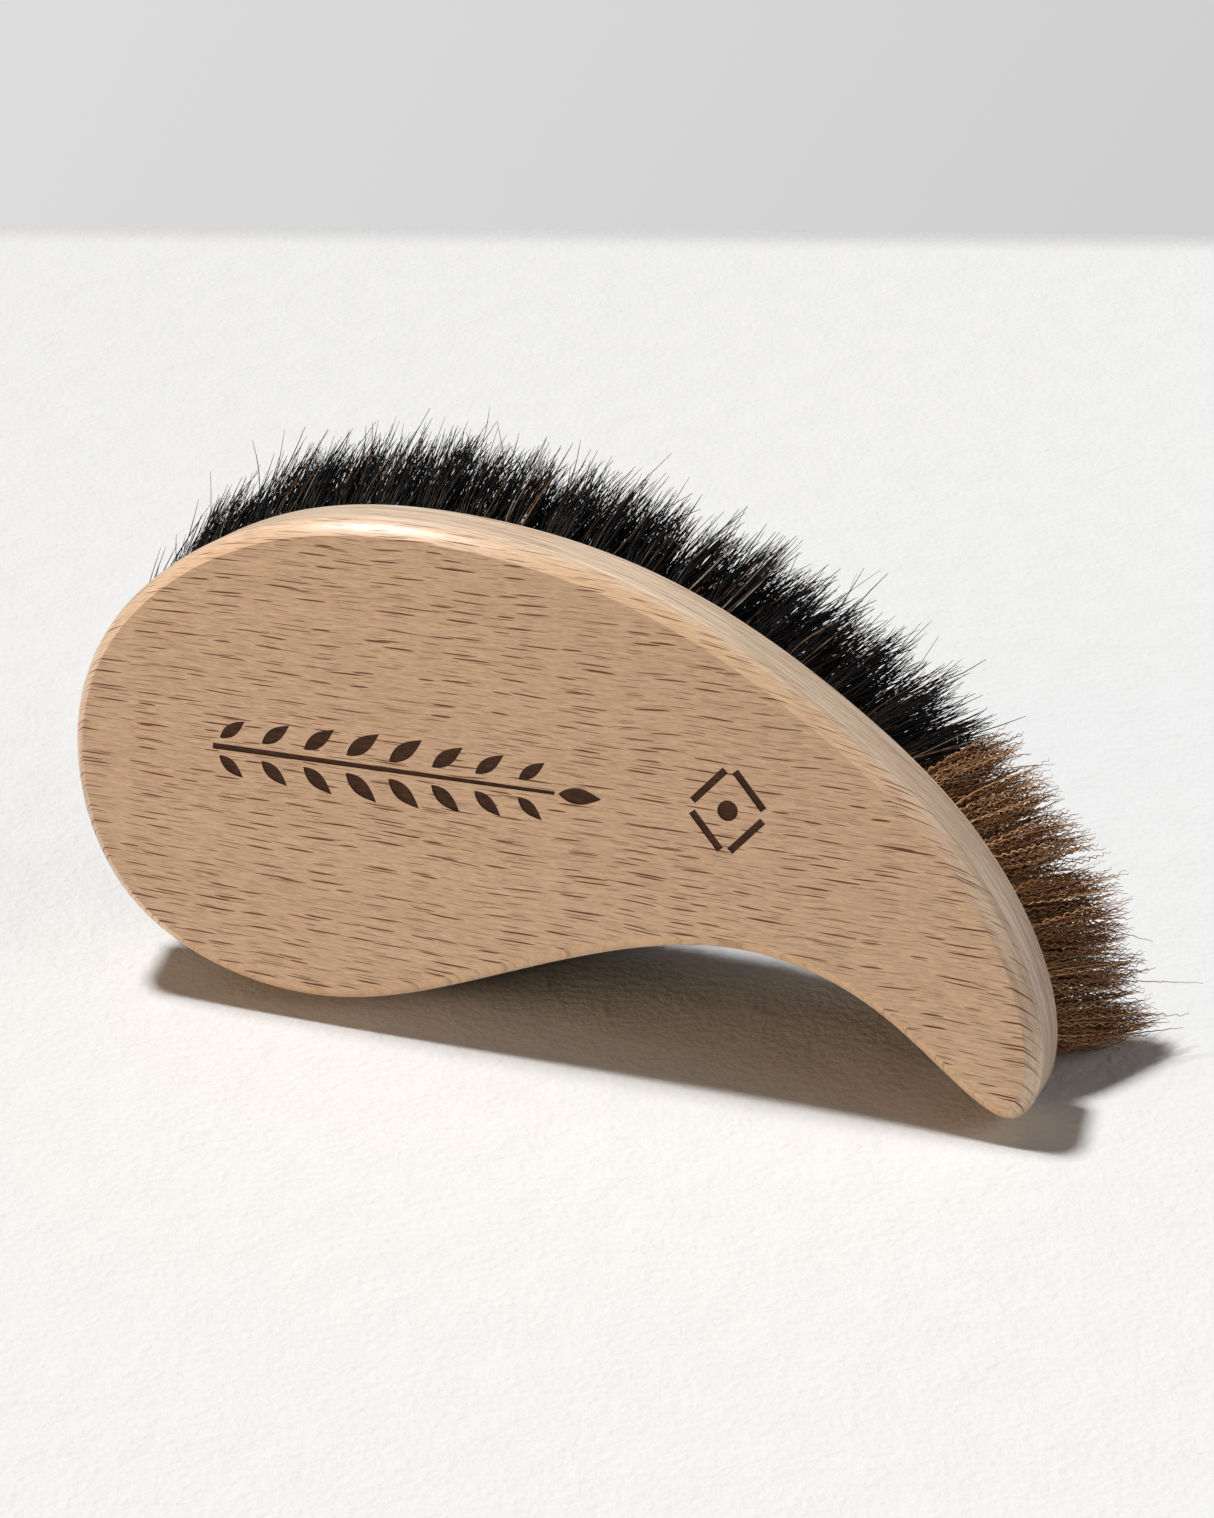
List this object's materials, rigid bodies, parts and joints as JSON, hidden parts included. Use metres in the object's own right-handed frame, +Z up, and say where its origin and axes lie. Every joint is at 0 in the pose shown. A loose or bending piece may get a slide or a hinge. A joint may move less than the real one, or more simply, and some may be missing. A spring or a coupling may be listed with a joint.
{
  "type": "palm grooming brush",
  "caption": "Comma-shaped beech palm brush with black and brown bristle tufts on one face, for grooming short hair or dusting; it lies on its long hollow edge.",
  "frame": {"origin": "middle of the bottom of the resting brush's box, on the surface that it lies on", "axes": "+X along the block from its round bulb to its tail, +Y from the flat wooden face towards the bristles, +Z up"},
  "size_m": [0.1796, 0.0586, 0.0819],
  "materials": {
    "beech": "fine sanded and waxed, with burned-in decoration",
    "black_hair": "glossy straight horsehair",
    "brown_fibre": "dull crimped natural fibre"
  },
  "bodies": {
    "root": {"black_tufts_row1_01": "black_hair", "black_tufts_row1_02": "black_hair", "black_tufts_row1_03": "black_hair", "black_tufts_row1_04": "black_hair", "black_tufts_row1_05": "black_hair", "black_tufts_row1_06": "black_hair", "black_tufts_row1_07": "black_hair", "black_tufts_row1_08": "black_hair", "black_tufts_row2_01": "black_hair", "black_tufts_row2_02": "black_hair", "black_tufts_row2_03": "black_hair", "black_tufts_row2_04": "black_hair", "black_tufts_row2_05": "black_hair", "black_tufts_row2_06": "black_hair", "black_tufts_row2_07": "black_hair", "black_tufts_row2_08": "black_hair", "black_tufts_row3_01": "black_hair", "black_tufts_row3_02": "black_hair", "black_tufts_row3_03": "black_hair", "black_tufts_row3_04": "black_hair", "black_tufts_row3_05": "black_hair", "black_tufts_row3_06": "black_hair", "black_tufts_row4_01": "black_hair", "black_tufts_row4_02": "black_hair", "black_tufts_row4_03": "black_hair", "black_tufts_row4_04": "black_hair", "black_tufts_row4_05": "black_hair", "black_tufts_row5_01": "black_hair", "black_tufts_row5_02": "black_hair", "black_tufts_row5_03": "black_hair", "black_tufts_row6_01": "black_hair", "black_tufts_row6_02": "black_hair", "black_tufts_row6_03": "black_hair", "brown_tufts_row1_01": "brown_fibre", "brown_tufts_row1_02": "brown_fibre", "brown_tufts_row1_03": "brown_fibre", "brown_tufts_row1_04": "brown_fibre", "brown_tufts_row2_01": "brown_fibre", "brown_tufts_row2_02": "brown_fibre", "wood_block": "beech"}
  },
  "joints": []
}
